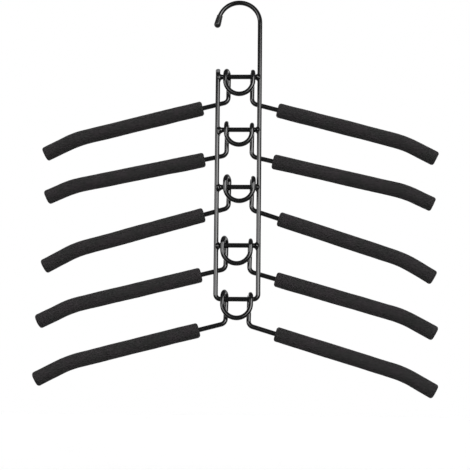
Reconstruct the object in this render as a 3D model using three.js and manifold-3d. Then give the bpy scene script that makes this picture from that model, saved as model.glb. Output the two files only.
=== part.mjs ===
// A five-tier coat hanger: one wire bent into a hook and a ladder frame, four rungs welded
// across it, and five padded hangers of bent wire that hook over the rungs and swing on them.
// Millimetres, +Z up, the front faces -Y. The origin is where a closet rail bears in the hook.
import * as THREE from 'three';
import { mergeVertices } from 'three/addons/utils/BufferGeometryUtils.js';
import Module from 'manifold-3d';

const wasm = await Module();
wasm.setup();

const degrees = Math.PI / 180;
const quarterTurn = 90 * degrees;
const halfTurn = 180 * degrees;

// Ladder frame
const frameWire = 4.9;
const uprightSpacing = 43.4;
const frameDrop = 231.5;
const uprightStandoff = 9.3;
const cornerBend = 5;
const shearAngle = 45 * degrees;

// Hook and its tip
const hookSeatRadius = 19.3;
const stemLength = 57.65;
const hookSweep = 166 * degrees;
const hookTail = 8;
const tipLength = 13.3;
const tipMouthDiameter = 6.1;
const tipEndDiameter = 7.2;
const tipInsertion = 10.8;
const tipClearance = 0.3;

// Rungs and their welds
const weldGap = 0.3;
const weldDiameter = 7.6;
const weldReach = 1.6;

// Hanger wire: a bail in front of the rung, a loop over it at each side, two legs and two arms
const hangerWire = 4.9;
const pivotClearance = 0.3;
const bailWidth = 28.4;
const bailDrop = 20;
const loopRise = 5;
const legSpacing = 24.6;
const legDrop = 26.8;
const legBend = 6;
const armLength = 163.2;
const shoulderBend = 100;
const shoulderAngle = 12.7 * degrees;
const armTipLength = 37;
const sidePlay = 1.8;

// Foam sleeves
const sleeveDiameter = 15.3;
const sleeveLength = 172.5;
const sleeveClearance = 0.3;
const sleeveEdge = 1.8;
const sleeveEndBore = 2.6;
const wireEndCover = 4;

// Each tier's rung as a share of the frame's drop, its hanger as bent by hand, and how that hangs
const tierShares = [0, 0.2416, 0.501, 0.762, 1];
const bailWidthShares = [1.01, 0.93, 1.02, 1.01, 1.015];
const bailDropShares = [0.96, 0.828, 0.755, 0.95, 1];
const tierTilts = [0.4, 0.7, 1.2, 1.2, 1.3].map((angle) => angle * degrees);
const tierShiftShares = [0.383, 0.5, 0.944, -0.22, 0.117];

// Each side's arms from the top tier down: their droop, and their sizes as shares of those above
const leftArms = {
  droops: [14.44, 12.38, 16.88, 14.98, 15.9].map((angle) => angle * degrees),
  riseShares: [0.12, 0.25, 1.03, 0.38, 0.33],
  spacingShares: [0.929, 1.04, 0.889, 0.902, 0.901],
  legShares: [0.955, 0.972, 0.796, 0.896, 0.907],
  tipShares: [0.994, 0.802, 1.025, 1.033, 1.072],
  sleeveShares: [1.001, 0.984, 1.015, 1.018, 1.014],
};
const rightArms = {
  droops: [14.43, 12.31, 16.99, 14.86, 15.77].map((angle) => angle * degrees),
  riseShares: [0, 0, 0.86, 0, 0],
  spacingShares: [1.084, 1.082, 1.043, 1.089, 1.011],
  legShares: [1.003, 1.009, 0.844, 0.969, 0.967],
  tipShares: [0.985, 0.83, 0.987, 0.982, 0.988],
  sleeveShares: [0.998, 0.993, 0.987, 0.996, 0.992],
};
const lowestSwing = -5 * degrees;

// Facets
const wireSides = 12;
const frameSides = 12;
const sleeveSides = 14;
const tightBendSteps = 4;
const shoulderSteps = 3;
const loopSteps = 8;
const bailSteps = 6;
const hookSteps = 14;
const edgeSteps = 2;

const frameRadius = frameWire / 2;
const hangerRadius = hangerWire / 2;
const hookRadius = hookSeatRadius + frameRadius;
const loopOffset = frameRadius + hangerRadius + pivotClearance;
const stemX = hookRadius;
const freeUprightX = stemX - uprightSpacing;
const frameCentreX = (stemX + freeUprightX) / 2;
const topRungZ = -hookSeatRadius - stemLength;
const rungZ = (tier) => topRungZ - frameDrop * tierShares[tier];

const right = new THREE.Vector3(1, 0, 0);
const back = new THREE.Vector3(0, 1, 0);
const up = new THREE.Vector3(0, 0, 1);

// A wire's centre line, made as a bending machine makes it: straight feeds and bends in turn.
class BentWire {
  constructor(start, direction) {
    this.point = start.clone();
    this.direction = direction.clone().normalize();
    this.pieces = [];
    this.length = 0;
  }

  feed(length) {
    if (length > 0) this.add({ length, steps: 1 });
    return this;
  }

  bend(radius, angle, axis, steps) {
    return this.add({ length: radius * angle, radius, angle, axis: axis.clone().normalize(), steps });
  }

  add(piece) {
    this.pieces.push({ ...piece, from: this.length, point: this.point, direction: this.direction });
    this.length += piece.length;
    const end = this.place(this.length);
    this.point = end.point;
    this.direction = end.direction;
    return this;
  }

  // The point and direction at a distance along the wire; past either end it runs on straight.
  place(distance) {
    const piece = this.pieces.findLast(({ from }) => distance >= from) ?? this.pieces[0];
    const along = distance - piece.from;
    const inside = Math.min(along, piece.length);
    const point = piece.point.clone();
    const direction = piece.direction.clone();
    if (piece.radius) {
      const turn = (piece.angle * inside) / piece.length;
      const centre = point.clone().addScaledVector(piece.axis.clone().cross(direction), piece.radius);
      point.sub(centre).applyAxisAngle(piece.axis, turn).add(centre);
      direction.applyAxisAngle(piece.axis, turn);
      point.addScaledVector(direction, along - inside);
    } else {
      point.addScaledVector(direction, along);
    }
    return { point, direction };
  }

  // Distances at which the wire's section is placed: the ends of each piece and the steps of each bend.
  marks() {
    const inner = this.pieces.flatMap(({ from, length, steps }) =>
      Array.from({ length: steps }, (_, step) => from + (length * step) / steps));
    return [...inner, this.length];
  }

  stations() {
    return this.marks().map((distance) => this.place(distance));
  }
}

// A curve through given stations, one step from each to the next, for an extrude path.
class StationCurve extends THREE.Curve {
  constructor(stations) {
    super();
    this.stations = stations;
  }

  station(t) {
    return this.stations[Math.round(t * (this.stations.length - 1))];
  }

  getPoint(t) {
    return this.station(t).point.clone();
  }

  getPointAt(t) {
    return this.getPoint(t);
  }

  getTangentAt(t) {
    return this.station(t).direction.clone();
  }

  getSpacedPoints(divisions) {
    return this.getPoints(divisions);
  }
}

function roundBar(stations, radius, sides) {
  const section = new THREE.Shape().absarc(0, 0, radius, 0, 2 * halfTurn);
  return new THREE.ExtrudeGeometry(section, {
    steps: stations.length - 1,
    curveSegments: sides / 2,
    extrudePath: new StationCurve(stations),
  });
}

function toSolid(geometry) {
  const bare = geometry.clone();
  for (const name of ['normal', 'uv']) bare.deleteAttribute(name);
  const merged = mergeVertices(bare);
  const vertProperties = new Float32Array(merged.attributes.position.array);
  const triVerts = new Uint32Array(merged.index.array);
  return new wasm.Manifold(new wasm.Mesh({ numProp: 3, vertProperties, triVerts }));
}

function toGeometry(solid) {
  const { vertProperties, triVerts } = solid.getMesh();
  const geometry = new THREE.BufferGeometry();
  geometry.setAttribute('position', new THREE.BufferAttribute(vertProperties, 3));
  geometry.setIndex(new THREE.BufferAttribute(triVerts, 1));
  geometry.computeVertexNormals();
  return geometry;
}

function frameCentreLine() {
  const cornerSetback = cornerBend;
  const bottomRun = uprightSpacing - 2 * cornerSetback;
  const uprightRun = frameDrop - cornerSetback;
  const start = new THREE.Vector3(freeUprightX, 0, topRungZ + uprightStandoff);
  return new BentWire(start, up.clone().negate())
    .feed(uprightStandoff + uprightRun)
    .bend(cornerBend, quarterTurn, back.clone().negate(), tightBendSteps)
    .feed(bottomRun)
    .bend(cornerBend, quarterTurn, back.clone().negate(), tightBendSteps)
    .feed(uprightRun + stemLength)
    .bend(hookRadius, hookSweep, back.clone().negate(), hookSteps)
    .feed(hookTail);
}

// The bent frame wire, its free end sheared off at a slant that faces the front and up.
function frameWireGeometry(line) {
  const bent = toSolid(roundBar(line.stations(), frameRadius, frameSides));
  const { point } = line.place(0);
  const slantHeight = frameWire * Math.tan(shearAngle);
  const blade = new THREE.BoxGeometry(2 * frameWire, 2 * frameWire, 2 * slantHeight);
  blade.translate(0, 0, slantHeight).rotateX(shearAngle);
  blade.translate(point.x, point.y, point.z - slantHeight / 2);
  return toGeometry(bent.subtract(toSolid(blade)));
}

// The soft tip, flared towards a round end, with a blind bore that follows the wire.
function hookTipGeometry(frameLine) {
  const endRadius = tipEndDiameter / 2;
  const mouthRadius = tipMouthDiameter / 2;
  const barrel = tipLength - endRadius;
  const dome = Array.from({ length: edgeSteps * 2 + 1 }, (_, step) => {
    const angle = (quarterTurn * step) / (edgeSteps * 2);
    return new THREE.Vector2(endRadius * Math.cos(angle), barrel + endRadius * Math.sin(angle));
  });
  dome.at(-1).x = 0;
  const profile = [new THREE.Vector2(0, 0), new THREE.Vector2(mouthRadius, 0), ...dome];
  const outside = new THREE.LatheGeometry(profile, frameSides);
  const mouth = frameLine.place(frameLine.length - tipInsertion);
  const end = frameLine.place(frameLine.length);
  const axis = end.point.clone().sub(mouth.point).normalize();
  const turn = new THREE.Quaternion().setFromUnitVectors(back, axis);
  outside.applyQuaternion(turn).translate(...mouth.point);
  const boreStations = frameLine.stations().slice(-hookSteps - 2);
  const bore = roundBar(boreStations, frameRadius + tipClearance, frameSides);
  return toGeometry(toSolid(outside).subtract(toSolid(bore)));
}

// A rung, its weld collars flared at both ends and coped round the two uprights.
function rungGeometry() {
  const halfSpan = uprightSpacing / 2;
  const weldStart = halfSpan - frameRadius - weldReach;
  const side = [
    new THREE.Vector2(0, -halfSpan),
    new THREE.Vector2(weldDiameter / 2, -halfSpan),
    new THREE.Vector2(weldDiameter / 2, -halfSpan + frameRadius),
    new THREE.Vector2(frameRadius, -weldStart),
    new THREE.Vector2(frameRadius, weldStart),
    new THREE.Vector2(weldDiameter / 2, halfSpan - frameRadius),
    new THREE.Vector2(weldDiameter / 2, halfSpan),
    new THREE.Vector2(0, halfSpan),
  ];
  const bar = new THREE.LatheGeometry(side, frameSides).rotateZ(-quarterTurn);
  const copeRadius = frameRadius + weldGap;
  const copeHeight = 2 * weldDiameter;
  const cope = new THREE.CylinderGeometry(copeRadius, copeRadius, copeHeight, 2 * frameSides);
  cope.rotateX(quarterTurn);
  const copes = [-halfSpan, halfSpan].map((x) => toSolid(cope.clone().translate(x, 0, 0)));
  return toGeometry(copes.reduce((solid, cut) => solid.subtract(cut), toSolid(bar)));
}

// Half of a hanger's wire, from the middle of its bail to the end of its arm on the right of the rung's
// axis, bent like the given side's arms.
function hangerHalf(tier, arms) {
  const droop = arms.droops[tier];
  const bailRadius = (bailWidth * bailWidthShares[tier]) / 2;
  const bailDepth = bailDrop * bailDropShares[tier];
  const legOffset = (legSpacing * arms.spacingShares[tier]) / 2;
  const rise = loopRise * arms.riseShares[tier];
  const crossing = new THREE.Vector3(legOffset - bailRadius, 2 * loopOffset, 0);
  const loopRadius = crossing.length() / 2;
  const loopAxis = up.clone().cross(crossing);
  const legTurn = quarterTurn - droop;
  const legSetback = legBend * Math.tan(legTurn / 2);
  const shoulderSetback = shoulderBend * Math.tan(shoulderAngle / 2);
  return new BentWire(new THREE.Vector3(0, -loopOffset, -bailDepth), right)
    .bend(bailRadius, quarterTurn, back.clone().negate(), bailSteps)
    .feed(bailDepth - bailRadius + rise)
    .bend(loopRadius, halfTurn, loopAxis, loopSteps)
    .feed(rise + legDrop * arms.legShares[tier] - legSetback)
    .bend(legBend, legTurn, back.clone().negate(), tightBendSteps)
    .feed(armLength - legSetback - shoulderSetback)
    .bend(shoulderBend, shoulderAngle, back, shoulderSteps)
    .feed(armTipLength * arms.tipShares[tier] - shoulderSetback - wireEndCover);
}

function mirrored({ point, direction }) {
  const across = new THREE.Vector3(-1, 1, 1);
  return { point: point.clone().multiply(across), direction: direction.clone().multiply(across).negate() };
}

function hangerWireGeometry(leftHalf, rightHalf) {
  const leftSide = leftHalf.stations().slice(1).reverse().map(mirrored);
  return roundBar([...leftSide, ...rightHalf.stations()], hangerRadius, wireSides);
}

// A foam sleeve turned straight as a lathe profile, then bent along the arm that it is pushed onto.
function sleeveGeometry(half, length) {
  const end = half.length + wireEndCover;
  const start = end - length;
  const outer = sleeveDiameter / 2;
  const bore = hangerRadius + sleeveClearance;
  const bendMarks = half.marks().filter((mark) => mark > start + sleeveEdge && mark < half.length);
  const wireEnd = half.length + sleeveClearance;
  const edge = (from, turn) => Array.from({ length: edgeSteps + 1 }, (_, step) => {
    const angle = turn + (quarterTurn * step) / edgeSteps;
    return new THREE.Vector2(
      outer - sleeveEdge + sleeveEdge * Math.cos(angle), from + sleeveEdge * Math.sin(angle));
  });
  const profile = [
    new THREE.Vector2(bore, start),
    ...edge(start + sleeveEdge, -quarterTurn),
    ...bendMarks.map((mark) => new THREE.Vector2(outer, mark)),
    ...edge(end - sleeveEdge, 0),
    new THREE.Vector2(sleeveEndBore / 2, end),
    new THREE.Vector2(sleeveEndBore / 2, wireEnd),
    new THREE.Vector2(bore, wireEnd),
    ...bendMarks.toReversed().map((mark) => new THREE.Vector2(bore, mark)),
    new THREE.Vector2(bore, start),
  ];
  const sleeve = new THREE.LatheGeometry(profile, sleeveSides);
  const position = sleeve.attributes.position;
  const vertex = new THREE.Vector3();
  for (let index = 0; index < position.count; index += 1) {
    vertex.fromBufferAttribute(position, index);
    const { point, direction } = half.place(vertex.y);
    const across = direction.clone().cross(back);
    point.addScaledVector(across, vertex.x).addScaledVector(back, vertex.z);
    position.setXYZ(index, ...point);
  }
  sleeve.computeVertexNormals();
  return sleeve;
}

function named(name, geometry, material) {
  const mesh = new THREE.Mesh(geometry, material);
  mesh.name = name;
  return mesh;
}

const blackPaint = () => new THREE.MeshStandardMaterial({ color: 0x141414, roughness: 0.18, metalness: 0.4 });
const softTip = () => new THREE.MeshStandardMaterial({ color: 0x101010, roughness: 0.3, metalness: 0 });
const foam = () => new THREE.MeshStandardMaterial({ color: 0x2b292a, roughness: 0.95, metalness: 0 });

function ladderFrame() {
  const group = new THREE.Group();
  const line = frameCentreLine();
  group.add(named('frame_wire', frameWireGeometry(line), blackPaint()));
  group.add(named('hook_tip', hookTipGeometry(line), softTip()));
  tierShares.slice(0, -1).forEach((_, tier) => {
    const rung = named(`rung_${tier + 1}`, rungGeometry(), blackPaint());
    rung.position.set(frameCentreX, 0, rungZ(tier));
    group.add(rung);
  });
  return group;
}

function hanger(tier) {
  const group = new THREE.Group();
  const leftHalf = hangerHalf(tier, leftArms);
  const rightHalf = hangerHalf(tier, rightArms);
  const leftLength = sleeveLength * leftArms.sleeveShares[tier];
  const rightLength = sleeveLength * rightArms.sleeveShares[tier];
  const number = tier + 1;
  group.add(named(`hanger_wire_${number}`, hangerWireGeometry(leftHalf, rightHalf), blackPaint()));
  const rightSleeve = named(`foam_sleeve_right_${number}`, sleeveGeometry(rightHalf, rightLength), foam());
  const leftSleeve = named(`foam_sleeve_left_${number}`, sleeveGeometry(leftHalf, leftLength), foam());
  leftSleeve.scale.x = -1;
  group.add(rightSleeve, leftSleeve);
  const isLowest = tier === tierShares.length - 1;
  group.rotation.set(isLowest ? lowestSwing : 0, tierTilts[tier], 0);
  group.position.set(frameCentreX + sidePlay * tierShiftShares[tier], 0, rungZ(tier));
  return group;
}

const coatHanger = new THREE.Group();
coatHanger.name = 'five_tier_coat_hanger';
coatHanger.add(ladderFrame());
tierShares.forEach((_, tier) => coatHanger.add(hanger(tier)));

export default coatHanger;
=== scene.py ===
"""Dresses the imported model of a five-tier coat hanger and hangs it in a white studio.

The hook's rail seat is the origin, the arms spread along X, the front faces -Y and Z is up, as in the
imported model. Sizes are in millimetres until a finished mesh is turned into metres.
"""
import logging
import math
from collections.abc import Iterable
from dataclasses import dataclass, field
from enum import Enum
from functools import cached_property
from typing import ClassVar

import bmesh
import bpy
from bmesh.types import BMEdge, BMesh, BMVert
from bpy.types import Material, Node, NodeSocket, NodeTree, Object
from mathutils import Matrix, Vector, noise


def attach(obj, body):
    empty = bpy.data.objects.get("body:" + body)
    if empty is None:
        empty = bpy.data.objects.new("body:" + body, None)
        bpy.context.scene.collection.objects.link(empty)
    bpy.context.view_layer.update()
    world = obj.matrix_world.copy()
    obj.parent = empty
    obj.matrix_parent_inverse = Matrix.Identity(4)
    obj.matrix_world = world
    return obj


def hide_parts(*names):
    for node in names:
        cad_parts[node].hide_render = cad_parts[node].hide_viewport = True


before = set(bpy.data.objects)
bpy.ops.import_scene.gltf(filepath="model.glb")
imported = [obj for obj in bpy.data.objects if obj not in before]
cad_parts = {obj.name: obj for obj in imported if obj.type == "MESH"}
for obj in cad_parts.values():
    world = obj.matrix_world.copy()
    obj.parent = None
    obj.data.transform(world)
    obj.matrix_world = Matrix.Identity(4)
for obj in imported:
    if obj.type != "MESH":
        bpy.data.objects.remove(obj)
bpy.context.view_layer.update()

log = logging.getLogger("coat_hanger")

MILLIMETRE = 0.001
MERGE_DISTANCE = 0.01
CUT_TOLERANCE = 0.0001
CRISP_ANGLE = math.radians(50)
CUT_MARK = "sheared_face"
QUARTER_TURN = math.pi / 2
RIGHT = Vector((1, 0, 0))
BACK = Vector((0, 1, 0))
UP = Vector((0, 0, 1))
WHITE = (1.0, 1.0, 1.0)

Colour = tuple[float, float, float]
Range = tuple[float, float]
Ring = tuple[float, float]
Source = NodeSocket | float | tuple[float, ...]


class Slot(Enum):
    """The record's material slots."""

    BLACK_ENAMEL = "black_enamel"
    SOFT_TIP = "soft_tip"
    FOAM = "foam"


class Side(Enum):
    """The side of a hanger, as the sign of its X direction."""

    LEFT = -1
    RIGHT = 1


class SocketKind(Enum):
    """The kinds of socket that the shared effects have."""

    PLACE = "NodeSocketVector"
    NUMBER = "NodeSocketFloat"
    COLOUR = "NodeSocketColor"


class Blend(Enum):
    """What a Mix node blends, as its data type and its sockets' type."""

    COLOURS = ("RGBA", "RGBA")
    NUMBERS = ("FLOAT", "VALUE")


@dataclass
class RingRun:
    """A round bar or tube grown ring by ring, as a bending machine feeds and bends wire."""

    mesh: BMesh
    radius: float
    sides: int
    point: Vector
    direction: Vector
    rim: list[BMEdge] = field(init=False)
    first_rim: list[BMEdge] = field(init=False)

    def __post_init__(self) -> None:
        """Lays the first ring."""
        turn = self.direction.to_track_quat("Z", "Y").to_matrix().to_4x4()
        ring = bmesh.ops.create_circle(
            self.mesh,
            cap_ends=False,
            segments=self.sides,
            radius=self.radius,
            matrix=Matrix.Translation(self.point) @ turn,
        )
        self.rim = list(dict.fromkeys(edge for vert in ring["verts"] for edge in vert.link_edges))
        self.first_rim = self.rim

    def ring(self, advance: float, radius: float | None = None) -> None:
        """Extrudes the rim into one more ring.

        Args:
            advance: how far along the run the new ring stands from the last.
            radius: its radius, or None to keep the last one.
        """
        grown = bmesh.ops.extrude_edge_only(self.mesh, edges=self.rim)["geom"]
        verts = [item for item in grown if isinstance(item, BMVert)]
        self.rim = [item for item in grown if isinstance(item, BMEdge)]
        if radius is not None:
            share = radius / self.radius
            centred = Matrix.Translation(-self.point)
            bmesh.ops.scale(self.mesh, vec=(share, share, share), space=centred, verts=verts)
            self.radius = radius
        bmesh.ops.translate(self.mesh, vec=self.direction * advance, verts=verts)
        self.point = self.point + self.direction * advance

    def feed(self, length: float, steps: int = 1) -> None:
        """Runs straight on for a length, in a number of steps."""
        for _ in range(steps):
            self.ring(length / steps)

    def bend(self, radius: float, angle: float, axis: Vector, steps: int) -> None:
        """Spins the rim round a bend.

        Args:
            radius: the bend's radius at the centre line.
            angle: the angle that it turns through.
            axis: the axis that it turns about.
            steps: the number of rings that it gets.
        """
        axis = axis.normalized()
        centre = self.point + axis.cross(self.direction) * radius
        verts = list(dict.fromkeys(vert for edge in self.rim for vert in edge.verts))
        spun = bmesh.ops.spin(
            self.mesh,
            geom=verts + self.rim,
            cent=centre,
            axis=axis,
            angle=angle,
            steps=steps,
            use_merge=False,
            use_duplicate=False,
        )
        self.rim = [item for item in spun["geom_last"] if isinstance(item, BMEdge)]
        turn = Matrix.Rotation(angle, 3, axis)
        self.point = centre + turn @ (self.point - centre)
        self.direction = turn @ self.direction

    def turn_profile(self, profile: Iterable[Ring]) -> None:
        """Adds the rings of a turned profile.

        Args:
            profile: each ring's distance along the run from where it is now, and its radius.
        """
        reached = 0.0
        for distance, radius in profile:
            self.ring(distance - reached, radius)
            reached = distance

    def cap(self, rim: list[BMEdge]) -> None:
        """Closes a ring with a flat face."""
        bmesh.ops.edgeloop_fill(self.mesh, edges=rim)

    def join_ends(self) -> None:
        """Joins the last ring to the first, where the run has come back to it."""
        verts = dict.fromkeys(vert for edge in self.rim + self.first_rim for vert in edge.verts)
        bmesh.ops.remove_doubles(self.mesh, verts=list(verts), dist=MERGE_DISTANCE)


@dataclass(frozen=True)
class Unevenness:
    """The slight unevenness of a real surface: the most that a point moves, and the size of its waves."""

    depth: float
    wave: float

    def press_into(self, mesh: BMesh, seed: float) -> None:
        """Moves each point a little in or out.

        Args:
            mesh: the mesh.
            seed: a number that sets this piece's unevenness apart from another's.
        """
        bmesh.ops.recalc_face_normals(mesh, faces=mesh.faces[:])
        offset = Vector((seed, 2 * seed, 3 * seed))
        for vert in mesh.verts:
            vert.co += vert.normal * self.depth * noise.noise(vert.co / self.wave + offset)


class ShaderBench:
    """Adds shader nodes to one tree and joins them."""

    def __init__(self, tree: NodeTree) -> None:
        """Takes a material's, world's or group's node tree to work on."""
        self.tree = tree

    def add(self, kind: str, inputs: dict[str | int, Source] | None = None, **settings: object) -> Node:
        """Adds a node.

        Args:
            kind: the node's type name.
            inputs: values and sources by input name or place; a socket is joined, another value is set.
            settings: the node's own properties.

        Returns:
            The node.
        """
        node = self.tree.nodes.new(kind)
        for name, value in settings.items():
            setattr(node, name, value)
        for name, value in (inputs or {}).items():
            self.put(node.inputs[name], value)
        return node

    def put(self, socket: NodeSocket, value: Source) -> None:
        """Joins a source to a socket, or sets the socket's value.

        Args:
            socket: the input socket.
            value: an output socket or a plain value.
        """
        if isinstance(value, NodeSocket):
            self.tree.links.new(value, socket)
        else:
            socket.default_value = value

    def maths(self, operation: str, *values: Source) -> NodeSocket:
        """Adds a Math node with its inputs in order and gives its result."""
        return self.add("ShaderNodeMath", dict(enumerate(values)), operation=operation).outputs[0]

    def ramp(self, value: Source, low: float, high: float, to: Range = (0.0, 1.0)) -> NodeSocket:
        """Eases a value that runs from low to high into one that runs over another range."""
        inputs = {"Value": value, "From Min": low, "From Max": high, "To Min": to[0], "To Max": to[1]}
        return self.add("ShaderNodeMapRange", inputs, interpolation_type="SMOOTHSTEP").outputs["Result"]

    def clouds(self, place: Source, scale: Source, detail: float, **others: float) -> NodeSocket:
        """Adds a Noise Texture, whose scale is in clouds per metre, and gives its grey value."""
        inputs = {"Vector": place, "Scale": scale, "Detail": detail, **others}
        return self.add("ShaderNodeTexNoise", inputs).outputs["Fac"]

    def blend(self, kind: Blend, share: Source, first: Source, second: Source) -> NodeSocket:
        """Adds a Mix node.

        Args:
            kind: what it blends.
            share: how much of the second shows.
            first: the first colour or number.
            second: the second colour or number.

        Returns:
            The blended colour or number.
        """
        data_type, socket_type = kind.value
        mix = self.add("ShaderNodeMix", {"Factor": share}, data_type=data_type)
        ends = [socket for socket in mix.inputs if socket.type == socket_type and socket.name in ("A", "B")]
        self.put(ends[0], first)
        self.put(ends[1], second)
        return next(socket for socket in mix.outputs if socket.type == socket_type)


def new_group(
    name: str,
    inputs: dict[str, SocketKind],
    output: str,
    kind: SocketKind,
) -> tuple[ShaderBench, bpy.types.NodeOutputs, NodeSocket]:
    """Makes an empty shader node group.

    Args:
        name: its name.
        inputs: the kind of each input socket besides Position, by name.
        output: its output socket's name.
        kind: its output socket's kind.

    Returns:
        A bench for its tree, the sockets that its inputs come from, and the one that its result goes to.
    """
    tree = bpy.data.node_groups.new(name, "ShaderNodeTree")
    for label, input_kind in {"Position": SocketKind.PLACE, **inputs}.items():
        tree.interface.new_socket(label, in_out="INPUT", socket_type=input_kind.value)
    tree.interface.new_socket(output, in_out="OUTPUT", socket_type=kind.value)
    bench = ShaderBench(tree)
    return bench, bench.add("NodeGroupInput").outputs, bench.add("NodeGroupOutput").inputs[output]


@dataclass
class SharedEffects:
    """The surface effects that more than one finish uses, each a node group made at its first use."""

    grain_share: float = 0.3
    scuff_distortion: float = 0.6
    scuff_patches: Range = (0.52, 0.72)
    scuff_grain_ratio: float = 9.0
    scuff_grain: Range = (0.4, 0.65)
    mottle_roughness: float = 0.6
    mottle_drift: Range = (0.3, 0.7)

    @cached_property
    def ripple(self) -> NodeTree:
        """The height of a dipped or moulded skin: long waves with a fine grain on them.

        Returns:
            The group.
        """
        inputs = {"Wave": SocketKind.NUMBER, "Grain": SocketKind.NUMBER}
        bench, source, height = new_group("skin_ripple", inputs, "Height", SocketKind.NUMBER)
        wave = bench.clouds(source["Position"], source["Wave"], detail=2.0)
        grain = bench.clouds(source["Position"], source["Grain"], detail=3.0)
        bench.put(height, bench.maths("ADD", wave, bench.maths("MULTIPLY", grain, self.grain_share)))
        return bench.tree

    @cached_property
    def scuffs(self) -> NodeTree:
        """A mask of the faint rubs that handling leaves, broken up by a finer grain.

        Returns:
            The group.
        """
        inputs = {"Scale": SocketKind.NUMBER, "Amount": SocketKind.NUMBER}
        bench, source, result = new_group("handling_scuffs", inputs, "Mask", SocketKind.NUMBER)
        place = source["Position"]
        patches = bench.clouds(place, source["Scale"], detail=4.0, Distortion=self.scuff_distortion)
        grain_scale = bench.maths("MULTIPLY", source["Scale"], self.scuff_grain_ratio)
        grain = bench.clouds(place, grain_scale, detail=2.0)
        edge = bench.ramp(patches, *self.scuff_patches)
        broken = bench.ramp(grain, *self.scuff_grain)
        mask = bench.maths("MULTIPLY", edge, broken)
        bench.put(result, bench.maths("MULTIPLY", mask, source["Amount"]))
        return bench.tree

    @cached_property
    def mottle(self) -> NodeTree:
        """A colour that drifts slowly between two shades over the surface.

        Returns:
            The group.
        """
        inputs = {"Scale": SocketKind.NUMBER, "First": SocketKind.COLOUR, "Second": SocketKind.COLOUR}
        bench, source, result = new_group("colour_mottle", inputs, "Colour", SocketKind.COLOUR)
        place = source["Position"]
        drift = bench.clouds(place, source["Scale"], detail=5.0, Roughness=self.mottle_roughness)
        share = bench.ramp(drift, *self.mottle_drift)
        bench.put(result, bench.blend(Blend.COLOURS, share, source["First"], source["Second"]))
        return bench.tree


def rgba(colour: Colour, share: float = 1.0) -> tuple[float, float, float, float]:
    """Gives a colour with full opacity, made lighter or darker by a share."""
    return (colour[0] * share, colour[1] * share, colour[2] * share, 1.0)


@dataclass
class Coat:
    """A material on the bench: its shader, where its patterns are read, and the shared effects."""

    bench: ShaderBench
    shader: Node
    place: NodeSocket
    effects: SharedEffects

    def put(self, name: str, value: Source) -> None:
        """Joins a source to one of the shader's inputs, or sets its value."""
        self.bench.put(self.shader.inputs[name], value)

    def effect(self, group: NodeTree, **inputs: Source) -> NodeSocket:
        """Places a shared effect, with its inputs by name, and gives its result."""
        node = self.bench.add("ShaderNodeGroup", {"Position": self.place, **inputs}, node_tree=group)
        return node.outputs[0]

    def bump(self, height: Source, depth: float, strength: float) -> NodeSocket:
        """Adds a Bump node for a height of a given full depth, and gives the bumped normal."""
        inputs = {"Height": height, "Distance": depth, "Strength": strength}
        return self.bench.add("ShaderNodeBump", inputs).outputs["Normal"]


class Finish:
    """A finish, made into a material once and then shared by its pieces.

    A scale says how many patterns lie along a metre, and depths are in metres.
    """

    name: ClassVar[str]

    def material(self, effects: SharedEffects) -> Material:
        """Makes the material.

        Args:
            effects: the shared node groups.

        Returns:
            The material.
        """
        material = bpy.data.materials.new(self.name)
        material.use_nodes = True
        bench = ShaderBench(material.node_tree)
        shader = next(node for node in bench.tree.nodes if node.type == "BSDF_PRINCIPLED")
        place = bench.add("ShaderNodeTexCoord").outputs["Object"]
        self.dress(Coat(bench, shader, place, effects))
        return material

    def dress(self, coat: Coat) -> None:
        """Joins the finish's own nodes to the coat's shader."""
        raise NotImplementedError


@dataclass(frozen=True)
class BlackEnamel(Finish):
    """Glossy black enamel, dipped and baked on steel wire, with faint rubs from handling."""

    name: ClassVar[str] = "black_enamel"
    colour: Colour = (0.006, 0.006, 0.0063)
    darkest: float = 0.8
    palest: float = 1.25
    drift_scale: float = 90.0
    rubbed_colour: Colour = (0.016, 0.016, 0.017)
    rub_scale: float = 160.0
    rub_amount: float = 0.7
    roughness: float = 0.08
    rubbed_roughness: float = 0.2
    wave_scale: float = 420.0
    grain_scale: float = 2600.0
    ripple_depth: float = 0.00002
    ripple_strength: float = 0.6
    refraction: float = 1.6
    # Paler grey of the sheared face: partly thinner paint, partly a painted highlight.
    cut_paint_and_highlight_colour: Colour = (0.15, 0.15, 0.155)
    cut_roughness: float = 0.42
    cut_scale: float = 700.0
    cut_patches: Range = (0.34, 0.5)

    def dress(self, coat: Coat) -> None:
        """Joins drifting colour, rubs, a sheared end painted paler grey for thin paint and a painted
        highlight, and the paint's ripple to the shader.

        Args:
            coat: the material on the bench.
        """
        bench = coat.bench
        rub = coat.effect(coat.effects.scuffs, Scale=self.rub_scale, Amount=self.rub_amount)
        shades = {"First": rgba(self.colour, self.darkest), "Second": rgba(self.colour, self.palest)}
        drift = coat.effect(coat.effects.mottle, Scale=self.drift_scale, **shades)
        painted = bench.blend(Blend.COLOURS, rub, drift, rgba(self.rubbed_colour))
        # The sheared face is painted paler grey in patches, partly for its thinner, duller paint and partly
        # as a painted highlight.
        cut = bench.add("ShaderNodeAttribute", attribute_name=CUT_MARK).outputs["Fac"]
        patches = bench.clouds(coat.place, self.cut_scale, detail=3.0)
        thin_paint_and_highlight = bench.maths("MULTIPLY", cut, bench.ramp(patches, *self.cut_patches))
        coat.put("Base Color", bench.blend(Blend.COLOURS, thin_paint_and_highlight, painted, rgba(self.cut_paint_and_highlight_colour)))
        gloss = bench.ramp(rub, 0.0, 1.0, to=(self.roughness, self.rubbed_roughness))
        duller = bench.maths("MULTIPLY", thin_paint_and_highlight, self.cut_roughness)
        coat.put("Roughness", bench.maths("ADD", gloss, duller))
        height = coat.effect(coat.effects.ripple, Wave=self.wave_scale, Grain=self.grain_scale)
        coat.put("Normal", coat.bump(height, self.ripple_depth, self.ripple_strength))
        coat.put("IOR", self.refraction)


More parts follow.
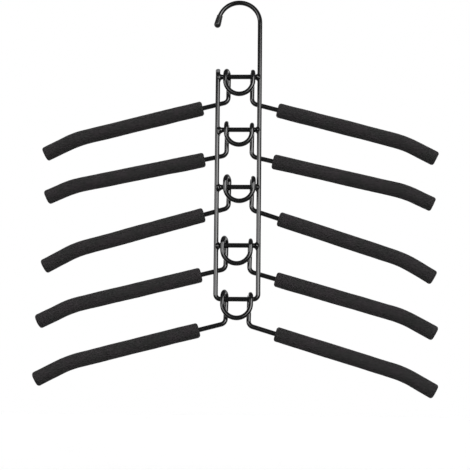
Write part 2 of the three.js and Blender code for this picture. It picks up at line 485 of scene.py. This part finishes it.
@dataclass(frozen=True)
class SoftVinyl(Finish):
    """Soft black vinyl, dipped onto the hook's end, satin with a few paler rubs."""

    name: ClassVar[str] = "soft_tip"
    colour: Colour = (0.012, 0.012, 0.012)
    darkest: float = 0.75
    palest: float = 1.4
    drift_scale: float = 260.0
    rub_scale: float = 300.0
    rub_amount: float = 0.8
    roughness: float = 0.34
    rubbed_roughness: float = 0.55
    wave_scale: float = 350.0
    grain_scale: float = 1800.0
    skin_depth: float = 0.00008
    skin_strength: float = 0.5

    def dress(self, coat: Coat) -> None:
        """Joins drifting colour, rubs and a soft skin to the shader.

        Args:
            coat: the material on the bench.
        """
        shades = {"First": rgba(self.colour, self.darkest), "Second": rgba(self.colour, self.palest)}
        drift = coat.effect(coat.effects.mottle, Scale=self.drift_scale, **shades)
        coat.put("Base Color", drift)
        rub = coat.effect(coat.effects.scuffs, Scale=self.rub_scale, Amount=self.rub_amount)
        coat.put("Roughness", coat.bench.ramp(rub, 0.0, 1.0, to=(self.roughness, self.rubbed_roughness)))
        height = coat.effect(coat.effects.ripple, Wave=self.wave_scale, Grain=self.grain_scale)
        coat.put("Normal", coat.bump(height, self.skin_depth, self.skin_strength))


@dataclass(frozen=True)
class CharcoalFoam(Finish):
    """Fine-celled rubber foam, matte charcoal, with open pores in its cut skin."""

    name: ClassVar[str] = "foam"
    # Darker colour in the pores: painted shade.
    pore_shade_colour: Colour = (0.0216, 0.0192, 0.0208)
    cool_colour: Colour = (0.0228, 0.0236, 0.0226)
    warm_colour: Colour = (0.0306, 0.0265, 0.0288)
    drift_scale: float = 65.0
    cell_scale: float = 2300.0
    cell_walls: Range = (0.12, 0.5)
    pore_depth: float = 0.00008
    pore_strength: float = 0.6
    pore_roughness: float = 1.0
    wall_roughness: float = 0.88
    lump_scale: float = 240.0
    grain_scale: float = 1100.0
    lump_depth: float = 0.0005
    lump_strength: float = 0.45
    specular: float = 0.15
    sheen: float = 0.03
    sheen_roughness: float = 0.6

    def dress(self, coat: Coat) -> None:
        """Joins mottled colour, pores painted darker as painted shade, and a soft unevenness to the shader.

        Args:
            coat: the material on the bench.
        """
        bench = coat.bench
        cells = bench.add("ShaderNodeTexVoronoi", {"Vector": coat.place, "Scale": self.cell_scale})
        wall = bench.ramp(cells.outputs["Distance"], *self.cell_walls)
        shades = {"First": rgba(self.cool_colour), "Second": rgba(self.warm_colour)}
        drift = coat.effect(coat.effects.mottle, Scale=self.drift_scale, **shades)
        # The pores get a darker colour than the cell walls: painted shade in the hollows.
        coat.put("Base Color", bench.blend(Blend.COLOURS, wall, rgba(self.pore_shade_colour), drift))
        coat.put("Roughness", bench.ramp(wall, 0.0, 1.0, to=(self.pore_roughness, self.wall_roughness)))
        height = coat.effect(coat.effects.ripple, Wave=self.lump_scale, Grain=self.grain_scale)
        lumps = coat.bump(height, self.lump_depth, self.lump_strength)
        pores = coat.bump(wall, self.pore_depth, self.pore_strength)
        bench.put(pores.node.inputs["Normal"], lumps)
        coat.put("Normal", pores)
        coat.put("Specular IOR Level", self.specular)
        coat.put("Sheen Weight", self.sheen)
        coat.put("Sheen Roughness", self.sheen_roughness)


class PaintShop:
    """Holds one material for each of the record's slots."""

    def __init__(self) -> None:
        """Makes the materials."""
        effects = SharedEffects()
        self.materials = {
            Slot.BLACK_ENAMEL: BlackEnamel().material(effects),
            Slot.SOFT_TIP: SoftVinyl().material(effects),
            Slot.FOAM: CharcoalFoam().material(effects),
        }

    def hang_up(self, mesh: BMesh, node: str, body: str, slot: Slot) -> Object:
        """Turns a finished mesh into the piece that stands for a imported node.

        Args:
            mesh: the mesh in millimetres, which is used up.
            node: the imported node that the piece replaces.
            body: the body that it rides on.
            slot: the finish that it gets.

        Returns:
            The piece.
        """
        bmesh.ops.recalc_face_normals(mesh, faces=mesh.faces[:])
        bmesh.ops.transform(mesh, matrix=Matrix.Scale(MILLIMETRE, 4), verts=mesh.verts[:])
        for face in mesh.faces:
            face.smooth = True
        for edge in mesh.edges:
            edge.smooth = edge.calc_face_angle() < CRISP_ANGLE
        name = f"{node}_finished"
        data = bpy.data.meshes.new(name)
        mesh.to_mesh(data)
        mesh.free()
        data.materials.append(self.materials[slot])
        piece = bpy.data.objects.new(name, data)
        bpy.context.scene.collection.objects.link(piece)
        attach(piece, body)
        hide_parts(node)
        log.info("%s: %d faces, rides on %s", name, len(data.polygons), body)
        return piece


@dataclass(frozen=True)
class WeldBead:
    """The bead that joins a rung to an upright, and the weld metal that hangs below it.

    Distances run along the rung from the upright's centre line, and the drops are each tier's, from the top.
    """

    flare: tuple[Ring, ...] = (
        (-0.9, 1.4), (-0.85, 2.1), (-0.65, 2.65), (-0.3, 3.0), (0.2, 3.22), (0.7, 3.42), (1.3, 3.64),
        (1.9, 3.8), (2.35, 3.76), (2.75, 3.46), (3.1, 3.08), (3.4, 2.8), (3.8, 2.58), (4.3, 2.48),
    )
    bare_rings: tuple[float, ...] = (4.9, 5.8, 6.8)
    drops: ClassVar[dict[Side, tuple[float, ...]]] = {
        Side.LEFT: (0.8, 2.7, 2.0, 1.3),
        Side.RIGHT: (1.1, 0.3, 0.9, 1.1),
    }
    drop_curve: float = 1.4
    sag_share: float = 0.2
    lump_share: float = 0.6
    lump_size: float = 1.6


@dataclass(frozen=True)
class SoftTip:
    """The soft cap on the hook's end: a lipped mouth, a barrel that flares and a domed end.

    Each ring of the lip has its distance from the mouth, and how far it stands out past the mouth's radius.
    """

    length: float = 13.3
    mouth_diameter: float = 6.1
    end_diameter: float = 7.2
    insertion: float = 10.8
    clearance: float = 0.3
    lip: float = 0.14
    lip_corner: float = 0.04
    lip_rings: tuple[Ring, ...] = ((0.04, 0.0), (0.14, 0.1), (0.6, 0.12), (1.1, 0.02), (1.7, 0.03))
    barrel_rings: tuple[float, ...] = (0.35, 0.55, 0.75, 0.9, 1.0)
    dome_rings: int = 8
    dome_opening: float = 0.5

    def profile(self, bore: float) -> list[Ring]:
        """Gives the tip's rings, from its bore round the lip to the dome.

        Args:
            bore: the bore's radius.

        Returns:
            Each ring's distance from the mouth, and its radius.
        """
        mouth_radius = self.mouth_diameter / 2
        end_radius = self.end_diameter / 2
        rings = [(self.lip, bore), (self.lip_corner, bore + self.lip_corner), (0.0, bore + self.lip)]
        rings += [(distance, mouth_radius + proud) for distance, proud in self.lip_rings]
        start_radius = rings[-1][1]
        barrel_end = self.length - end_radius
        for share in self.barrel_rings:
            eased = share * share * (3 - 2 * share)
            rings.append((barrel_end * share, start_radius + (end_radius - start_radius) * eased))
        for step in range(1, self.dome_rings + 1):
            angle = QUARTER_TURN * step / (self.dome_rings + self.dome_opening)
            rings.append((barrel_end + end_radius * math.sin(angle), end_radius * math.cos(angle)))
        return rings


@dataclass
class LadderFrame:
    """The frame: one wire bent into hook and ladder, four welded rungs and the hook's soft tip."""

    wire_diameter: float = 4.9
    upright_spacing: float = 43.4
    drop: float = 231.5
    upright_standoff: float = 9.3
    corner_bend: float = 5.0
    shear_angle: float = math.radians(45)
    hook_seat_radius: float = 19.3
    stem_length: float = 57.65
    hook_sweep: float = math.radians(166)
    hook_tail: float = 8.0
    tier_shares: tuple[float, ...] = (0, 0.2416, 0.501, 0.762, 1)
    rung_rings: tuple[float, ...] = (0.2, 0.35, 0.5, 0.65, 0.8)
    bead: WeldBead = WeldBead()
    tip: SoftTip = SoftTip()
    unevenness: Unevenness = Unevenness(depth=0.05, wave=9.0)
    seed: float = 1.3
    sides: int = 32
    body: str = "frame"

    @property
    def wire_radius(self) -> float:
        """The wire's radius."""
        return self.wire_diameter / 2

    @property
    def hook_radius(self) -> float:
        """The radius of the hook's centre line."""
        return self.hook_seat_radius + self.wire_radius

    @property
    def centre_x(self) -> float:
        """The middle between the two uprights."""
        return self.hook_radius - self.upright_spacing / 2

    def rung_height(self, tier: int) -> float:
        """Gives the height of a tier's rung, counted from 0 at the top."""
        return -self.hook_seat_radius - self.stem_length - self.drop * self.tier_shares[tier]

    def bend_wire(self) -> BMesh:
        """Bends the frame wire.

        Returns:
            The wire's mesh.
        """
        mesh = bmesh.new()
        mesh.faces.layers.float.new(CUT_MARK)
        free_x = self.hook_radius - self.upright_spacing
        top = Vector((free_x, 0, self.rung_height(0) + self.upright_standoff))
        run = RingRun(mesh, self.wire_radius, self.sides, top, -UP)
        run.feed(self.upright_standoff + self.drop - self.corner_bend, steps=24)
        self.shear_free_end(mesh, top)
        run.bend(self.corner_bend, QUARTER_TURN, -BACK, steps=12)
        run.feed(self.upright_spacing - 2 * self.corner_bend, steps=4)
        run.bend(self.corner_bend, QUARTER_TURN, -BACK, steps=12)
        run.feed(self.drop - self.corner_bend + self.stem_length, steps=28)
        run.bend(self.hook_radius, self.hook_sweep, -BACK, steps=64)
        run.feed(self.hook_tail, steps=2)
        run.cap(run.rim)
        self.unevenness.press_into(mesh, self.seed)
        return mesh

    def shear_free_end(self, mesh: BMesh, top: Vector) -> None:
        """Cuts the free upright's end off at the slant that a shear leaves, and marks the cut face.

        Args:
            mesh: the mesh, which holds only the free upright so far.
            top: the upright's end on its centre line.
        """
        slant = self.wire_diameter * math.tan(self.shear_angle)
        cut = bmesh.ops.bisect_plane(
            mesh,
            geom=mesh.verts[:] + mesh.edges[:] + mesh.faces[:],
            dist=CUT_TOLERANCE,
            plane_co=top - UP * slant / 2,
            plane_no=Matrix.Rotation(self.shear_angle, 3, RIGHT) @ UP,
            clear_outer=True,
        )
        rim = [item for item in cut["geom_cut"] if isinstance(item, BMEdge)]
        filled = bmesh.ops.edgeloop_fill(mesh, edges=rim)
        mark = mesh.faces.layers.float[CUT_MARK]
        for face in filled["faces"]:
            face[mark] = 1.0

    def weld_rung(self, tier: int) -> BMesh:
        """Makes a rung with the weld beads that flare onto both uprights.

        Args:
            tier: the tier, counted from 0 at the top.

        Returns:
            The rung's mesh.
        """
        span = self.upright_spacing
        bare = [(distance, self.wire_radius) for distance in self.bead.bare_rings]
        near_bead = [*self.bead.flare, *bare]
        far_bead = [(span - distance, radius) for distance, radius in reversed(near_bead)]
        middle = [(span * share, self.wire_radius) for share in self.rung_rings]
        first_distance, first_radius = near_bead[0]
        start = Vector((self.centre_x - span / 2 + first_distance, 0, self.rung_height(tier)))
        mesh = bmesh.new()
        run = RingRun(mesh, first_radius, self.sides, start, RIGHT)
        profile = [*near_bead[1:], *middle, *far_bead]
        run.turn_profile((distance - first_distance, radius) for distance, radius in profile)
        run.cap(run.rim)
        run.cap(run.first_rim)
        self.sag_beads(mesh, tier)
        return mesh

    def sag_beads(self, mesh: BMesh, tier: int) -> None:
        """Makes the beads lumpy and lets them hang, as molten steel does.

        Args:
            mesh: the rung's mesh.
            tier: the tier, which sets each rung's beads apart.
        """
        bmesh.ops.recalc_face_normals(mesh, faces=mesh.faces[:])
        bead = self.bead
        reach = bead.bare_rings[-1]
        height = self.rung_height(tier)
        offset = Vector((tier, 2 * tier, 0))
        for vert in mesh.verts:
            side = Side.LEFT if vert.co.x < self.centre_x else Side.RIGHT
            proud = max(0.0, math.hypot(vert.co.y, vert.co.z - height) - self.wire_radius)
            below = min(1.0, max(0.0, height - vert.co.z) / self.wire_radius)
            along = self.upright_spacing / 2 - abs(vert.co.x - self.centre_x)
            near = min(1.0, max(0.0, (reach - along) / (reach - self.wire_radius)))
            lump = noise.noise(vert.co / bead.lump_size + offset)
            vert.co += vert.normal * bead.lump_share * proud * lump
            vert.co.z -= bead.sag_share * proud + bead.drops[side][tier] * below * near**bead.drop_curve

    def hook_point(self, angle: float) -> Vector:
        """Gives the point on the hook's centre line at an angle turned since the stem's top."""
        across = self.hook_radius * math.cos(angle)
        return Vector((across, 0, self.hook_radius * math.sin(angle) - self.hook_seat_radius))

    def dip_tip(self) -> BMesh:
        """Makes the soft tip where it sits on the hook's end.

        Returns:
            The tip's mesh.
        """
        bend_back = (self.tip.insertion - self.hook_tail) / self.hook_radius
        mouth = self.hook_point(self.hook_sweep - bend_back)
        tail_way = Vector((-math.sin(self.hook_sweep), 0, math.cos(self.hook_sweep)))
        wire_end = self.hook_point(self.hook_sweep) + tail_way * self.hook_tail
        axis = (wire_end - mouth).normalized()
        bore = self.wire_radius + self.tip.clearance
        floor = self.tip.insertion + 2 * self.tip.clearance
        mesh = bmesh.new()
        run = RingRun(mesh, bore, self.sides, mouth + axis * floor, axis)
        run.cap(run.first_rim)
        run.turn_profile((distance - floor, radius) for distance, radius in self.tip.profile(bore))
        run.cap(run.rim)
        return mesh

    def build(self, shop: PaintShop) -> None:
        """Builds the frame's pieces and gives them their finish.

        Args:
            shop: the paint shop.
        """
        shop.hang_up(self.bend_wire(), "frame_wire", self.body, Slot.BLACK_ENAMEL)
        for tier in range(len(self.tier_shares) - 1):
            shop.hang_up(self.weld_rung(tier), f"rung_{tier + 1}", self.body, Slot.BLACK_ENAMEL)
        shop.hang_up(self.dip_tip(), "hook_tip", self.body, Slot.SOFT_TIP)


@dataclass(frozen=True)
class Arm:
    """How one arm was bent: its droop in degrees, and its other sizes as shares of the usual ones."""

    droop: float
    rise: float
    spacing: float
    leg: float
    tip: float
    sleeve: float

    @property
    def leg_turn(self) -> float:
        """The angle between the leg and the arm."""
        return QUARTER_TURN - math.radians(self.droop)


@dataclass(frozen=True)
class Hang:
    """How one hanger was bent in its middle and hangs.

    The bail's sizes and the shift along the rung are shares of the usual ones, tilt and swing are in degrees.
    """

    bail_width: float
    bail_drop: float
    tilt: float
    shift: float
    swing: float = 0.0


@dataclass
class PaddedHanger:
    """One tier's hanger: a bent wire that hooks over its rung, and the foam sleeves on its arms."""

    number: int
    hang: Hang
    arms: dict[Side, Arm]
    ladder: LadderFrame
    wire_diameter: float = 4.9
    pivot_clearance: float = 0.3
    bail_width: float = 28.4
    bail_drop: float = 20.0
    loop_rise: float = 5.0
    leg_spacing: float = 24.6
    leg_drop: float = 26.8
    leg_bend: float = 6.0
    arm_length: float = 163.2
    shoulder_bend: float = 100.0
    shoulder_angle: float = math.radians(12.7)
    arm_tip_length: float = 37.0
    side_play: float = 1.8
    sleeve_diameter: float = 15.3
    sleeve_length: float = 172.5
    sleeve_clearance: float = 0.3
    sleeve_edge: float = 2.6
    sleeve_edge_rings: int = 8
    sleeve_end_bore: float = 2.6
    wire_end_cover: float = 4.0
    wire_sides: int = 28
    sleeve_sides: int = 44
    wire_unevenness: Unevenness = Unevenness(depth=0.05, wave=8.0)
    wire_seed: float = 2.1
    sleeve_waves: Unevenness = Unevenness(depth=0.28, wave=22.0)
    sleeve_dimples: Unevenness = Unevenness(depth=0.09, wave=4.0)
    sleeve_seed: float = 7.3
    side_seed: float = 3.1
    sleeve_fill: float = 0.95

    @property
    def wire_radius(self) -> float:
        """The wire's radius."""
        return self.wire_diameter / 2

    @property
    def loop_offset(self) -> float:
        """How far the wire's centre line stands off the rung's axis."""
        return self.ladder.wire_radius + self.wire_radius + self.pivot_clearance

    @property
    def shoulder_setback(self) -> float:
        """How far the shoulder's bend starts before its corner."""
        return self.shoulder_bend * math.tan(self.shoulder_angle / 2)

    def leg_setback(self, arm: Arm) -> float:
        """Gives how far the leg's bend starts before its corner."""
        return self.leg_bend * math.tan(arm.leg_turn / 2)

    def arm_feed(self, arm: Arm) -> float:
        """Gives the arm's straight length."""
        return self.arm_length - self.leg_setback(arm) - self.shoulder_setback

    def tip_feed(self, arm: Arm) -> float:
        """Gives the straight length of wire beyond the shoulder."""
        return self.arm_tip_length * arm.tip - self.shoulder_setback - self.wire_end_cover

    def straight_cover(self, arm: Arm) -> float:
        """Gives the length of sleeve on the arm's straight."""
        past_straight = self.shoulder_bend * self.shoulder_angle + self.tip_feed(arm) + self.wire_end_cover
        return self.sleeve_length * arm.sleeve - past_straight

    def place(self, mesh: BMesh) -> None:
        """Moves a mesh from the rung's axis to where the hanger hangs.

        Args:
            mesh: the mesh.
        """
        swing = Matrix.Rotation(math.radians(self.hang.swing), 4, RIGHT)
        tilt = Matrix.Rotation(math.radians(self.hang.tilt), 4, BACK)
        across = self.ladder.centre_x + self.side_play * self.hang.shift
        where = Vector((across, 0, self.ladder.rung_height(self.number - 1)))
        bmesh.ops.transform(mesh, matrix=Matrix.Translation(where) @ swing @ tilt, verts=mesh.verts[:])

    def to_arm(self, mesh: BMesh, arm: Arm) -> RingRun:
        """Bends half of the wire, on the right of the rung's axis, from the bail's middle to the arm.

        Args:
            mesh: the mesh to bend it in.
            arm: the arm that it leads to.

        Returns:
            The run, at the arm's start.
        """
        bail_radius = self.bail_width * self.hang.bail_width / 2
        bail_drop = self.bail_drop * self.hang.bail_drop
        leg_offset = self.leg_spacing * arm.spacing / 2
        rise = self.loop_rise * arm.rise
        crossing = Vector((leg_offset - bail_radius, 2 * self.loop_offset, 0))
        middle = Vector((0, -self.loop_offset, -bail_drop))
        run = RingRun(mesh, self.wire_radius, self.wire_sides, middle, RIGHT)
        run.bend(bail_radius, QUARTER_TURN, -BACK, steps=16)
        run.feed(bail_drop - bail_radius + rise, steps=2)
        run.bend(crossing.length / 2, 2 * QUARTER_TURN, UP.cross(crossing), steps=24)
        run.feed(rise + self.leg_drop * arm.leg - self.leg_setback(arm), steps=2)
        run.bend(self.leg_bend, arm.leg_turn, -BACK, steps=12)
        return run

    def bend_wire(self) -> BMesh:
        """Bends the hanger's wire: the left half, turned over to its side, and then the right half.

        Returns:
            The wire's mesh.
        """
        mesh = bmesh.new()
        for side in Side:
            arm = self.arms[side]
            run = self.to_arm(mesh, arm)
            run.feed(self.arm_feed(arm), steps=6)
            run.bend(self.shoulder_bend, self.shoulder_angle, BACK, steps=8)
            run.feed(self.tip_feed(arm), steps=2)
            run.cap(run.rim)
            if side is Side.LEFT:
                bmesh.ops.scale(mesh, vec=(-1, 1, 1), verts=mesh.verts[:])
        bmesh.ops.remove_doubles(mesh, verts=mesh.verts[:], dist=MERGE_DISTANCE)
        self.place(mesh)
        self.wire_unevenness.press_into(mesh, self.wire_seed * self.number)
        return mesh

    def sleeve_start(self, arm: Arm) -> tuple[Vector, Vector]:
        """Finds where an arm's sleeve starts, on the right of the rung's axis.

        Args:
            arm: the arm.

        Returns:
            The point on the wire's centre line and the arm's direction.
        """
        trial = bmesh.new()
        run = self.to_arm(trial, arm)
        trial.free()
        return run.point + run.direction * (self.arm_feed(arm) - self.straight_cover(arm)), run.direction

    def edge_profile(self, closing: bool) -> list[Ring]:
        """Gives the profile of a sleeve's rounded end.

        Args:
            closing: True where it narrows towards an end, False where it widens from one.

        Returns:
            The distance and radius of each ring.
        """
        edge = self.sleeve_edge
        flat = self.sleeve_diameter / 2 - edge
        rings = []
        for step in range(1, self.sleeve_edge_rings + 1):
            angle = QUARTER_TURN * step / self.sleeve_edge_rings
            sine = edge * math.sin(angle)
            cosine = edge * math.cos(angle)
            rings.append((sine, flat + cosine) if closing else (edge - cosine, flat + sine))
        return rings

    def mould_sleeve(self, side: Side) -> BMesh:
        """Makes one arm's foam sleeve: a bored tube with rounded ends, bent with the arm.

        Args:
            side: the arm that it is pushed onto.

        Returns:
            The sleeve's mesh.
        """
        arm = self.arms[side]
        edge = self.sleeve_edge
        bore = self.wire_radius + self.sleeve_clearance
        start, way = self.sleeve_start(arm)
        mesh = bmesh.new()
        run = RingRun(mesh, bore, self.sleeve_sides, start, way)
        run.ring(0.0, self.sleeve_diameter / 2 - edge)
        run.turn_profile(self.edge_profile(closing=False))
        run.feed(self.straight_cover(arm) - edge, steps=44)
        run.bend(self.shoulder_bend, self.shoulder_angle, BACK, steps=12)
        run.feed(self.tip_feed(arm) + self.wire_end_cover - edge, steps=10)
        run.turn_profile(self.edge_profile(closing=True))
        run.ring(0.0, self.sleeve_end_bore / 2)
        run.ring(self.sleeve_clearance - self.wire_end_cover)
        run.ring(0.0, bore)
        run.feed(-self.tip_feed(arm) - self.sleeve_clearance)
        run.bend(self.shoulder_bend, -self.shoulder_angle, BACK, steps=6)
        run.feed(-self.straight_cover(arm), steps=3)
        run.join_ends()
        if side is Side.LEFT:
            bmesh.ops.scale(mesh, vec=(-1, 1, 1), verts=mesh.verts[:])
        self.place(mesh)
        seed = self.sleeve_seed * self.number + self.side_seed * side.value
        self.sleeve_waves.press_into(mesh, seed)
        self.sleeve_dimples.press_into(mesh, seed + 1)
        return mesh

    def build(self, shop: PaintShop) -> None:
        """Builds the hanger's pieces and gives them their finish.

        Args:
            shop: the paint shop.
        """
        body = f"hanger_{self.number}"
        shop.hang_up(self.bend_wire(), f"hanger_wire_{self.number}", body, Slot.BLACK_ENAMEL)
        for side in Side:
            node = f"foam_sleeve_{side.name.lower()}_{self.number}"
            sleeve = shop.hang_up(self.mould_sleeve(side), node, body, Slot.FOAM)


@dataclass(frozen=True)
class LightPanel:
    """A soft-edged light panel that the gloss shows, placed by angles in degrees from the front."""

    side: Side
    near: float
    far: float
    low: float
    top: float
    strength: float
    near_softness: float = 6.0
    far_softness: float = 16.0
    low_softness: float = 5.0
    top_softness: float = 6.0

    def mask(self, bench: ShaderBench, azimuth: NodeSocket, height: NodeSocket) -> Source:
        """Masks the panel out of the room.

        Args:
            bench: the world's shader bench.
            azimuth: the angle away from the front, towards the right.
            height: the angle above the horizon.

        Returns:
            The mask.
        """
        aside = bench.maths("MULTIPLY", azimuth, float(self.side.value))
        mask: Source = 1.0
        for angle, edge, full in (
            (aside, self.near, self.near + self.near_softness),
            (aside, self.far, self.far - self.far_softness),
            (height, self.low, self.low + self.low_softness),
            (height, self.top, self.top - self.top_softness),
        ):
            mask = bench.maths("MULTIPLY", mask, bench.ramp(angle, math.radians(edge), math.radians(full)))
        return mask


@dataclass(frozen=True)
class SoftSun:
    """A very wide, soft light that the gloss doesn't show, tilted forward and aside by angles in degrees."""

    name: str
    energy: float
    tilt: float
    lean: float = 4.0
    spread: float = 80.0

    def hang(self) -> None:
        """Hangs the light."""
        lamp = bpy.data.lights.new(self.name, "SUN")
        lamp.energy = self.energy
        lamp.angle = math.radians(self.spread)
        light = bpy.data.objects.new(self.name, lamp)
        light.rotation_euler = (math.radians(self.tilt), math.radians(self.lean), 0)
        light.visible_glossy = False
        bpy.context.scene.collection.objects.link(light)


@dataclass
class StudioCamera:
    """The camera, in metres and radians, where the photograph's stood."""

    aim: Vector = field(default_factory=lambda: Vector((-0.00235, 0.0, -0.24264)))
    distance: float = 1.3
    azimuth: float = math.radians(2.5)
    elevation: float = math.radians(-7.0)
    roll: float = math.radians(0.55)
    sensor_width: float = 36.0
    focal_share: float = 2.7
    nearest: float = 0.05
    farthest: float = 50.0

    def set_up(self) -> None:
        """Sets up the camera and makes it the scene's."""
        level = math.cos(self.elevation)
        across_level = math.sin(self.azimuth) * level
        away = Vector((across_level, -math.cos(self.azimuth) * level, math.sin(self.elevation)))
        across = (-away).cross(UP).normalized()
        turn = Matrix((across, across.cross(-away), away)).transposed() @ Matrix.Rotation(self.roll, 3, "Z")
        data = bpy.data.cameras.new("studio_camera")
        data.sensor_width = self.sensor_width
        data.lens = self.sensor_width * self.focal_share
        data.clip_start = self.nearest
        data.clip_end = self.farthest
        camera = bpy.data.objects.new("studio_camera", data)
        camera.matrix_world = Matrix.Translation(self.aim + away * self.distance) @ turn.to_4x4()
        bpy.context.scene.collection.objects.link(camera)
        bpy.context.scene.camera = camera


@dataclass
class Studio:
    """The white studio: floor, backdrop, soft light and camera, with its sizes in metres."""

    floor_height: float = -0.5
    floor_radius: float = 4.0
    floor_sides: int = 96
    floor_colour: float = 0.7
    floor_roughness: float = 0.9
    floor_glow: float = 0.5
    ambient: float = 0.1
    backdrop: float = 0.7
    backdrop_edge: Range = (0.1, 0.45)
    backdrop_top: Range = (0.95, 0.8)
    panels: tuple[LightPanel, ...] = (
        LightPanel(Side.RIGHT, near=3, far=58, low=-6, top=17.5, strength=5.2, top_softness=4.5),
        LightPanel(Side.RIGHT, near=3, far=34, low=-8, top=16, strength=2.6),
        LightPanel(Side.LEFT, near=3, far=82, low=-6, top=13.5, strength=2.8, top_softness=3.0),
        LightPanel(Side.RIGHT, near=150, far=179, low=-12, top=26, strength=2.2),
        LightPanel(Side.LEFT, near=150, far=179, low=-12, top=26, strength=1.6),
    )
    suns: tuple[SoftSun, ...] = (
        SoftSun("overhead", energy=0.9, tilt=12),
        SoftSun("frontal", energy=0.45, tilt=62),
    )
    camera: StudioCamera = field(default_factory=StudioCamera)

    def lay_floor(self) -> None:
        """Lays a plain pale floor that shows white and keeps the object's shadow."""
        mesh = bmesh.new()
        bmesh.ops.create_circle(mesh, cap_ends=True, segments=self.floor_sides, radius=self.floor_radius)
        bmesh.ops.translate(mesh, vec=(0, 0, self.floor_height), verts=mesh.verts[:])
        data = bpy.data.meshes.new("studio_floor")
        mesh.to_mesh(data)
        mesh.free()
        material = bpy.data.materials.new("studio_floor")
        material.use_nodes = True
        bench = ShaderBench(material.node_tree)
        shader = next(node for node in bench.tree.nodes if node.type == "BSDF_PRINCIPLED")
        shader.inputs["Base Color"].default_value = rgba(WHITE, self.floor_colour)
        shader.inputs["Roughness"].default_value = self.floor_roughness
        shader.inputs["Specular IOR Level"].default_value = 0.0
        shader.inputs["Emission Color"].default_value = rgba(WHITE)
        seen = bench.add("ShaderNodeLightPath").outputs["Is Camera Ray"]
        bench.put(shader.inputs["Emission Strength"], bench.maths("MULTIPLY", seen, self.floor_glow))
        data.materials.append(material)
        floor = bpy.data.objects.new("studio_floor", data)
        floor.visible_glossy = False
        floor.visible_diffuse = False
        bpy.context.scene.collection.objects.link(floor)

    def light_world(self) -> None:
        """Surrounds the object with a white backdrop behind, a dim room and light panels in front."""
        world = bpy.data.worlds.new("white_studio")
        world.use_nodes = True
        bpy.context.scene.world = world
        bench = ShaderBench(world.node_tree)
        background = next(node for node in bench.tree.nodes if node.type == "BACKGROUND")
        direction = bench.add("ShaderNodeTexCoord").outputs["Generated"]
        split = bench.add("ShaderNodeSeparateXYZ", {"Vector": direction}).outputs
        behind = bench.ramp(split["Y"], *self.backdrop_edge)
        below_top = bench.ramp(split["Z"], *self.backdrop_top)
        backdrop = bench.maths("MULTIPLY", behind, below_top)
        lit = bench.maths("MULTIPLY_ADD", backdrop, self.backdrop - self.ambient, self.ambient)
        forward = bench.maths("MULTIPLY", split["Y"], -1.0)
        azimuth = bench.maths("ARCTAN2", split["X"], forward)
        height = bench.maths("ARCSINE", split["Z"])
        for panel in self.panels:
            lit = bench.maths("MULTIPLY_ADD", panel.mask(bench, azimuth, height), panel.strength, lit)
        seen = bench.add("ShaderNodeLightPath").outputs["Is Camera Ray"]
        bench.put(background.inputs["Strength"], bench.blend(Blend.NUMBERS, seen, lit, 1.0))
        background.inputs["Color"].default_value = rgba(WHITE)

    def build(self) -> None:
        """Sets up the whole studio."""
        bpy.context.scene.view_settings.view_transform = "Standard"
        self.lay_floor()
        self.light_world()
        for sun in self.suns:
            sun.hang()
        self.camera.set_up()


def list_hangers(ladder: LadderFrame) -> list[PaddedHanger]:
    """Lists the five hangers as the photograph shows them hanging.

    Args:
        ladder: the frame that carries them.

    Returns:
        The hangers from the top down.
    """
    hangs = (
        Hang(bail_width=1.01, bail_drop=0.96, tilt=0.4, shift=0.383),
        Hang(bail_width=0.93, bail_drop=0.828, tilt=0.7, shift=0.5),
        Hang(bail_width=1.02, bail_drop=0.755, tilt=1.2, shift=0.944),
        Hang(bail_width=1.01, bail_drop=0.95, tilt=1.2, shift=-0.22),
        Hang(bail_width=1.015, bail_drop=1.0, tilt=1.3, shift=0.117, swing=-5.0),
    )
    left_arms = (
        Arm(droop=14.44, rise=0.12, spacing=0.929, leg=0.955, tip=0.994, sleeve=1.001),
        Arm(droop=12.38, rise=0.25, spacing=1.04, leg=0.972, tip=0.802, sleeve=0.984),
        Arm(droop=16.88, rise=1.03, spacing=0.889, leg=0.796, tip=1.025, sleeve=1.015),
        Arm(droop=14.98, rise=0.38, spacing=0.902, leg=0.896, tip=1.033, sleeve=1.018),
        Arm(droop=15.9, rise=0.33, spacing=0.901, leg=0.907, tip=1.072, sleeve=1.014),
    )
    right_arms = (
        Arm(droop=14.43, rise=0.0, spacing=1.084, leg=1.003, tip=0.985, sleeve=0.998),
        Arm(droop=12.31, rise=0.0, spacing=1.082, leg=1.009, tip=0.83, sleeve=0.993),
        Arm(droop=16.99, rise=0.86, spacing=1.043, leg=0.844, tip=0.987, sleeve=0.987),
        Arm(droop=14.86, rise=0.0, spacing=1.089, leg=0.969, tip=0.982, sleeve=0.996),
        Arm(droop=15.77, rise=0.0, spacing=1.011, leg=0.967, tip=0.988, sleeve=0.992),
    )
    return [
        PaddedHanger(number, hang, {Side.LEFT: left, Side.RIGHT: right}, ladder)
        for number, (hang, left, right) in enumerate(zip(hangs, left_arms, right_arms), start=1)
    ]


def main() -> None:
    """Builds the studio and every piece of the coat hanger."""
    logging.basicConfig(level=logging.INFO, format="%(message)s")
    Studio().build()
    shop = PaintShop()
    ladder = LadderFrame()
    ladder.build(shop)
    for hanger in list_hangers(ladder):
        hanger.build(shop)


if __name__ == "__main__":
    main()
